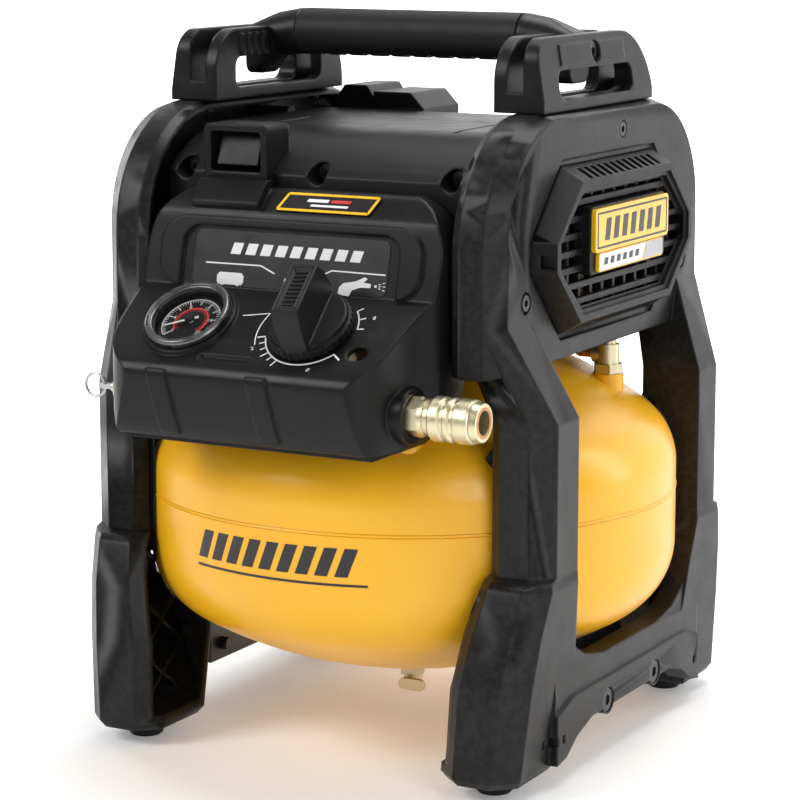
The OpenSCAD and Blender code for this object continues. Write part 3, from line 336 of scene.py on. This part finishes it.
class Plates:
    """Closed plates in one mesh, drawn in mm on a placed plane."""

    def __init__(self, place=None, bottom=0.0, top=0.0):
        self.bm = bmesh.new()
        self.place = place
        self.levels = (bottom, top)

    def vert(self, x, y, z):
        return self.bm.verts.new(self.place @ Vector((x / 1000, y / 1000, z / 1000)))

    def side_walls(self, low, high):
        for i in range(len(low)):
            j = (i + 1) % len(low)
            self.bm.faces.new((low[i], low[j], high[j], high[i]))

    def outline(self, points):
        low, high = [[self.vert(x, y, z) for x, y in points] for z in self.levels]
        self.bm.faces.new(high)
        self.bm.faces.new(low[::-1])
        self.side_walls(low, high)

    def stroke(self, start, end, width):
        start, end = Vector(start), Vector(end)
        run = (end - start).normalized()
        half = Vector((-run.y, run.x)) * width / 2
        self.outline([start - half, end - half, end + half, start + half])

    def path(self, points, width):
        for start, end in zip(points, points[1:]):
            self.stroke(start, end, width)

    def tick(self, degrees, inner, outer, width):
        self.stroke(polar(inner, degrees), polar(outer, degrees), width)

    def disc(self, radius, count=48):
        self.outline([polar(radius, 360 * i / count) for i in range(count)])

    def arc(self, inner, outer, start, end, step=4):
        """Flat band round the origin; a full turn closes on itself."""
        count = max(1, round(abs(end - start) / step))
        whole = abs(end - start) == 360
        bottom, top = self.levels
        corners = ((inner, bottom), (outer, bottom), (outer, top), (inner, top))
        sections = []
        for i in range(count if whole else count + 1):
            angle = start + (end - start) * i / count
            sections.append([self.vert(*polar(radius, angle), z) for radius, z in corners])
        for i in range(count):
            here, after = sections[i], sections[(i + 1) % len(sections)]
            for k in range(4):
                m = (k + 1) % 4
                self.bm.faces.new((here[k], here[m], after[m], after[k]))
        if not whole:
            self.bm.faces.new(sections[0])
            self.bm.faces.new(sections[-1][::-1])

    def wrapped_bar(self, x0, x1, z0, z1, inner, outer, centre, lean=0.0, step=3.0):
        """Slanted bar bent round the world Z axis.

        x runs along the outer arc from the centre angle, and z is the height."""
        count = round((x1 - x0) / step)
        shifts = [(x1 - x0) * k / count for k in range(count + 1)]
        points = [(x0 + shift, z0) for shift in shifts]
        points += [(x1 + lean - shift, z1) for shift in shifts]
        low, high = [
            [self.bm.verts.new((radius / 1000 * math.cos(centre + x / outer),
                                radius / 1000 * math.sin(centre + x / outer),
                                z / 1000)) for x, z in points]
            for radius in (inner, outer)]
        last = len(points) - 1
        for k in range(count):
            quad = (k, k + 1, last - 1 - k, last - k)
            self.bm.faces.new([high[i] for i in quad])
            self.bm.faces.new([low[i] for i in reversed(quad)])
        self.side_walls(low, high)

    def finish(self, name, material, body="base"):
        bmesh.ops.recalc_face_normals(self.bm, faces=self.bm.faces)
        mesh = bpy.data.meshes.new(name)
        self.bm.to_mesh(mesh)
        self.bm.free()
        add_mark(name, mesh, material, body)


def digits(name, text, size, at, z, place, turn=0.0):
    """White number centred at a point of the placed plane, turned in degrees."""
    curve = bpy.data.curves.new(name, "FONT")
    curve.body = text
    curve.size = size / 1000
    curve.align_x = curve.align_y = "CENTER"
    curve.extrude = 0.00004
    text_object = bpy.data.objects.new(name + "_t", curve)
    bpy.context.scene.collection.objects.link(text_object)
    mesh = bpy.data.meshes.new_from_object(text_object)
    bpy.data.objects.remove(text_object)
    shift = Matrix.Translation((at[0] / 1000, at[1] / 1000, z / 1000))
    mesh.transform(place @ (shift @ Matrix.Rotation(math.radians(turn), 4, "Z")))
    mesh.name = name
    add_mark(name, mesh, "white_ink")


# ------------------------------------------------------------------ gauge
GAUGE = local_frame(JOINT["gauge_needle_turn"]["pos_m"], JOINT["gauge_needle_turn"]["axis"])
DIAL_START, DIAL_SWEEP = 225, 270           # degrees; the scale runs clockwise
DIAL_END = DIAL_START - DIAL_SWEEP
DIAL_LEVELS = {"bottom": -1.02, "top": -0.90}
TICK_OVERLAP = 0.1                          # how far ticks run into their arc


def dial_angle(step, steps):
    return DIAL_START - DIAL_SWEEP * step / steps


def dial_scale():
    rim = 16.4
    marks = Plates(GAUGE, **DIAL_LEVELS)
    for i in range(51):
        inner, width = (12.6, 0.62) if i % 5 == 0 else (14.6, 0.28)
        marks.tick(dial_angle(i, 50), inner, rim, width)
    marks.arc(rim, rim + 0.5, DIAL_START, DIAL_END)
    marks.finish("dial_scale", "white_ink")


def dial_scale_red():
    inner = 9.3
    marks = Plates(GAUGE, **DIAL_LEVELS)
    marks.arc(inner, inner + 1.0, DIAL_START, DIAL_END)
    for i in range(31):
        marks.tick(dial_angle(i, 30), 7.6, inner + TICK_OVERLAP, width=0.3)
    marks.finish("dial_scale_red", "red_ink")


def dial_numbers():
    for k in range(6):
        digits("dial_num_%d" % k, str(4 * k), size=3.3, at=polar(11.4, dial_angle(k, 5)),
               z=-0.98, place=GAUGE)


def needle_hub():
    shoulder = 1.9
    hub = Plates(GAUGE, bottom=1.02, top=shoulder)
    hub.disc(2.9)
    hub.levels = (shoulder, 2.3)
    hub.disc(1.3, count=24)
    hub.finish("needle_hub", "dark_plastic", body="needle")


dial_scale()
dial_scale_red()
dial_numbers()
needle_hub()


# ------------------------------------------------------------------ regulator
SHELF = local_frame(JOINT["regulator_turn"]["pos_m"], JOINT["regulator_turn"]["axis"])
KNOB = SHELF @ Matrix.Rotation(math.radians(6), 4, "Z")


def regulator_scale():
    """Arcs and ticks on the shelf round the knob, with their numbers."""
    inner = 25.4
    long_outer, short_outer = 26.3, 26.2    # outer radii of the long and short arcs
    long_start, long_end = 196, 322
    marks = Plates(SHELF, bottom=0.0, top=0.12)
    marks.arc(inner, long_outer, long_start, long_end, step=3)
    tick_start = long_outer - TICK_OVERLAP
    for k in range(6):
        length = 4.6 if k in (0, 3, 5) else 3.2
        marks.tick(long_start + 10 * k, tick_start, tick_start + length, width=0.8)
    marks.tick(long_end, 25.6, 32.0, width=1.0)
    marks.arc(inner, short_outer, 8, 40, step=3)
    for angle in (8, 24, 40):
        marks.tick(angle, short_outer - TICK_OVERLAP, 29.6, width=0.8)
    # a thin arc further out and a line that leads away from it
    marks.arc(31.6, 32.2, 162, 206, step=3)
    marks.stroke((-30.7, 9.8), (-46.0, 6.6), width=0.6)
    marks.finish("regulator_scale", "white_ink")
    for text, at, turn in (("0", (10.4, -28.6), -20),
                           ("2", (-28.8, -16.9), 30),
                           ("8", (31.8, 12.6), 10)):
        digits("scale_" + text, text, size=3.6, at=at, z=0.02, place=SHELF, turn=turn)


def knob_grip_ribs():
    """Ribs in the recess along the knob grip."""
    pitch, half_length, half_width = 3.1, 3.6, 0.55
    ribs = Plates(KNOB, bottom=29.9, top=30.75)
    for k in range(9):
        y = pitch * (k - 4)
        ribs.outline(slanted(-half_length, half_length, y - half_width, y + half_width))
    ribs.finish("knob_grip_ribs", "dark_plastic", body="knob")


def knob_pointer():
    """Small wedge on the knob skirt."""
    wedge = Plates(KNOB, bottom=5.9, top=6.25)
    wedge.outline([(-1.5, 20.0), (1.5, 20.0), (0.0, 23.4)])
    wedge.finish("knob_pointer", "grey_ink", body="knob")


regulator_scale()
knob_grip_ribs()
knob_pointer()


# ------------------------------------------------------------------ upright panel label
PANEL_UP = Vector((0, 8.9, 37.5)).normalized()
PANEL = local_frame((0, -0.1432, 0.2695), (0, -PANEL_UP.z, PANEL_UP.y))

# (across, up) in mm on the panel
LABEL_RULES = [
    [(-53, 12.9), (-18, 13), (-9, 9.2)],
    [(58.8, 12.8), (26.2, 13.1), (21.0, 10.6)],
]
PLAQUE = [
    (-44.9, 3.2), (-44.0, 1.6), (-42.4, 1.6), (-41.4, 0.9), (-39.8, 1.6),
    (-33.2, 1.6), (-31.6, 0.9), (-30.6, 1.6), (-29.0, 1.6), (-28.1, 3.2),
    (-28.1, 6.4), (-29.6, 8.2), (-43.4, 8.2), (-44.9, 6.4),
]
NOZZLE = [
    (31.0, 0.6), (38.0, 0.2), (39.5, 3.4), (44.2, 5.2), (50.6, 5.4), (50.6, 7.6),
    (46.0, 8.0), (48.4, 10.0), (46.6, 10.9), (41.5, 8.4), (34.0, 7.0), (31.6, 4.6),
]
HOOKED_BAR = [
    (-1.6, 1.2), (1.2, 1.2), (1.2, 8.0), (-0.6, 8.0), (-2.6, 6.6), (-2.6, 5.4),
    (-1.6, 5.8),
]


def label_marks():
    marks = Plates(PANEL, bottom=0.5, top=0.60)
    for rule in LABEL_RULES:
        marks.path(rule, width=0.75)
    for k in range(9):
        x = -38 + 9.3 * k
        marks.outline(slanted(x, x + 6.2, 18.4, 24.6, lean=1.8))
    marks.outline(PLAQUE)
    marks.outline(NOZZLE)
    # three fanned rows of dashes off the tip of the nozzle
    for k in (-1, 0, 1):
        heading = Vector((math.cos(0.30 * k), math.sin(0.30 * k)))
        for j in range(3):
            start = Vector((52.2, 6.5)) + heading * (0.6 + 2.6 * j)
            marks.stroke(start, start + heading * 1.5, width=0.42)
    marks.outline(HOOKED_BAR)
    marks.outline(slanted(3.4, 6.6, 1.2, 8.0))
    marks.finish("label_marks", "white_ink")


label_marks()


# ------------------------------------------------------------------ slanted tag
TAG_TILT = math.atan2(10.5, 10)
TAG = local_frame((0, -0.128, 0.31575), (0, -math.sin(TAG_TILT), math.cos(TAG_TILT)))
TAG_BASE = 1.15
TAG_BORDER = [(-12.3, -5.4), (43.6, -5.4), (46.9, 5.4), (-8.7, 5.4)]
TAG_BARS = {"bottom": 1.33, "top": 1.42}


def slanted_tag():
    """Dark inset, yellow border and plain bars."""
    inset = Plates(TAG, bottom=TAG_BASE, top=1.35)
    inset.outline(slanted(-10.2, 43.0, -4.4, 4.4, lean=2.4))
    inset.finish("tag_inset", "label_film")
    border = Plates(TAG, bottom=TAG_BASE, top=1.5)
    border.path(TAG_BORDER + TAG_BORDER[:1], width=1.5)
    border.finish("tag_border", "badge_paint")
    white = Plates(TAG, **TAG_BARS)
    white.outline(slanted(4, 17, 0.4, 2.4, lean=0.6))
    white.outline(slanted(7, 30, -2.6, -1.2, lean=0.4))
    white.finish("tag_bars", "white_ink")
    red = Plates(TAG, **TAG_BARS)
    red.outline(slanted(18.6, 30.6, 0.4, 2.4, lean=0.6))
    red.finish("tag_bar_red", "red_ink")


slanted_tag()


# ------------------------------------------------------------------ tank and coupler
def tank_marks():
    """Slanted bars over a rule, wrapped on the front of the tank wall."""
    wall = {"inner": 154.2, "outer": 154.78, "centre": math.radians(-91.6)}
    marks = Plates()
    for k in range(9):
        x = -55.5 + 11.6 * k
        marks.wrapped_bar(x, x + 7.4, 117.6, 133.4, lean=6.0, **wall)
    marks.wrapped_bar(-56, 56, 112.4, 113.7, **wall)
    marks.finish("tank_marks", "label_film")


def coupler_mouth_ring():
    """Copper-coloured face inside the mouth of the coupler."""
    mouth = local_frame((0.12702, -0.160, 0.212), normal=(1, 0, 0), along=(0, 1, 0))
    ring = Plates(mouth, bottom=-0.05, top=0.12)
    ring.arc(6.6, 8.3, 0, 360, step=6)
    ring.finish("coupler_mouth_ring", "copper_bore")


tank_marks()
coupler_mouth_ring()


# ------------------------------------------------------------------ side badges
# outlines are (world y, world z) in mm; each plane's centre height is in mm
BADGE_X, BADGE_HEIGHT = 0.1390, 288.5
TAB_X, TAB_HEIGHT = 0.1384, 282.5
TAB_FACE = 0.16                             # how far the tab faces stand out
BADGE_BORDER = [(-47, 290.6), (47, 290.6), (47, 309.4), (-47, 309.4)]
TAB_LIGHT = [(-43, 278), (14, 278), (19, 286.8), (-43, 286.8)]
TAB_GREY = [(15.6, 278), (43, 278), (43, 286.8), (20.6, 286.8)]


def side_plane(side, x, height):
    return local_frame((x * side, 0, height / 1000), normal=(side, 0, 0), along=(0, 1, 0))


def on_plane(points, height, side):
    """World (y, z) to plane coordinates; the left plane has its second axis down."""
    return [(y, (z - height) * side) for y, z in points]


def side_badge(name, side):
    """Dark rule inside the plate edge and slanted bars, over a two-tone tab."""
    marks = Plates(side_plane(side, BADGE_X, BADGE_HEIGHT), bottom=0.0, top=0.14)
    marks.path(on_plane(BADGE_BORDER + BADGE_BORDER[:1], BADGE_HEIGHT, side), width=1.1)
    for k in range(7):
        y = -38 + 11.4 * k
        marks.outline(on_plane(slanted(y, y + 6.4, 294, 306, lean=2.4), BADGE_HEIGHT, side))
    marks.finish(name + "_badge_marks", "label_film")

    tab = side_plane(side, TAB_X, TAB_HEIGHT)
    for part, points, material in (("_tab_light", TAB_LIGHT, "white_ink"),
                                   ("_tab_grey", TAB_GREY, "grey_ink")):
        face = Plates(tab, bottom=0.0, top=TAB_FACE)
        face.outline(on_plane(points, TAB_HEIGHT, side))
        face.finish(name + part, material)
    bars = Plates(tab, bottom=TAB_FACE, top=0.22)
    for k in range(6):
        y = -38 + 8.4 * k
        bars.outline(on_plane(slanted(y, y + 5, 280.6, 284.4, lean=1), TAB_HEIGHT, side))
    bars.finish(name + "_tab_marks", "label_film")


side_badge("right", 1)
side_badge("left", -1)


# ------------------------------------------------------------------ studio
LIGHT_TARGET = (0, 0, 0.2)
# name, place, target, width, height, power in watts
LIGHTS = [
    ("backdrop", (0.0, 1.3, 2.4), (0.0, 3.2, 0.9), 2.4, 0.8, 70),
    ("key", (-1.1, -1.5, 1.5), LIGHT_TARGET, 0.9, 0.9, 22),
    ("fill", (1.7, -1.2, 0.9), LIGHT_TARGET, 0.8, 1.2, 12),
    ("top", (0.1, 0.2, 1.7), LIGHT_TARGET, 1.2, 0.7, 17),
    ("rim_left", (-1.5, 0.6, 0.8), LIGHT_TARGET, 0.35, 1.3, 8),
    ("rim_right", (1.4, 0.9, 0.8), LIGHT_TARGET, 0.35, 1.3, 9),
]


def floor_material():
    """White floor that glows to the camera away from the product."""
    tree, shader = new_material("floor_white")
    colour = ramp(tree, noise(tree, scale=2, detail=2),
                  (0.3, (0.86, 0.86, 0.86)), (0.7, (0.90, 0.90, 0.90)))
    distance = add_node(tree, "ShaderNodeVectorMath", {0: object_coords(tree)},
                        operation="LENGTH")
    far = add_node(tree, "ShaderNodeMapRange", {
        "Value": distance.outputs["Value"], "From Min": 0.6, "From Max": 1.5,
        "To Max": 0.85}, interpolation_type="SMOOTHSTEP")
    rays = add_node(tree, "ShaderNodeLightPath")
    # far glow for camera rays, plus 0.18 for every ray
    glow = add_node(tree, "ShaderNodeMath", {
        0: far.outputs["Result"], 1: rays.outputs["Is Camera Ray"], 2: 0.18},
        operation="MULTIPLY_ADD")
    set_inputs(tree, shader, {
        "Base Color": colour, "Roughness": 0.8, "Specular IOR Level": 0.1,
        "Emission Color": (1, 1, 1, 1), "Emission Strength": glow.outputs["Value"]})
    return MAT["floor_white"]


def floor():
    """Flat floor that curves up into a wall behind the product."""
    half_width, front, bend, radius, wall_top = 6.0, -4.0, 1.6, 1.4, 6.0
    drop = 0.0002                           # keeps the floor just under z = 0
    profile = [(front, 0.0), (bend, 0.0)]
    for k in range(1, 16):
        angle = math.radians(6 * k)
        profile.append((bend + radius * math.sin(angle), radius - radius * math.cos(angle)))
    profile.append((bend + radius, wall_top))
    bm = bmesh.new()
    left, right = [[bm.verts.new((x, y, z - drop)) for y, z in profile]
                   for x in (-half_width, half_width)]
    for i in range(len(profile) - 1):
        bm.faces.new((left[i], right[i], right[i + 1], left[i + 1]))
    mesh = bpy.data.meshes.new("floor")
    bm.to_mesh(mesh)
    bm.free()
    for polygon in mesh.polygons:
        polygon.use_smooth = True
    sweep = bpy.data.objects.new("floor", mesh)
    bpy.context.scene.collection.objects.link(sweep)
    mesh.materials.append(floor_material())


def world():
    """White to the camera, dimmer as a light."""
    studio = bpy.data.worlds.new("studio")
    bpy.context.scene.world = studio
    studio.use_nodes = True
    tree = studio.node_tree
    rays = add_node(tree, "ShaderNodeLightPath")
    strength = add_node(tree, "ShaderNodeMapRange", {
        "Value": rays.outputs["Is Camera Ray"], "To Min": 0.23, "To Max": 1.0})
    set_inputs(tree, tree.nodes["Background"], {
        "Color": (1, 1, 1, 1), "Strength": strength.outputs["Result"]})


def area_light(name, place, target, width, height, power):
    light = bpy.data.lights.new(name, "AREA")
    light.shape = "RECTANGLE"
    light.size = width
    light.size_y = height
    light.energy = power
    lamp = bpy.data.objects.new(name, light)
    bpy.context.scene.collection.objects.link(lamp)
    lamp.location = place
    aim = Vector(target) - Vector(place)
    lamp.rotation_euler = aim.to_track_quat("-Z", "Y").to_euler()


def camera():
    """Long lens from the front right, a little above the product."""
    azimuth, elevation, distance = math.radians(28.38), math.radians(10.36), 1.64113
    target_height, target_shift = 0.18744, -0.00755
    lens_data = bpy.data.cameras.new("cam")
    lens_data.sensor_width = 36
    lens_data.lens = 125.77815
    lens_data.clip_end = 20
    cam = bpy.data.objects.new("cam", lens_data)
    bpy.context.scene.collection.objects.link(cam)
    forward = -Vector((math.sin(azimuth) * math.cos(elevation),
                       -math.cos(azimuth) * math.cos(elevation),
                       math.sin(elevation)))
    right = Vector((math.cos(azimuth), math.sin(azimuth), 0))
    up = right.cross(forward)
    target = Vector((0, 0, target_height)) + right * target_shift
    cam.location = target - forward * distance
    cam.rotation_euler = Matrix((right, up, -forward)).transposed().to_euler()
    bpy.context.scene.camera = cam


floor()
world()
bpy.context.scene.view_settings.view_transform = "Standard"
for entry in LIGHTS:
    area_light(*entry)
camera()
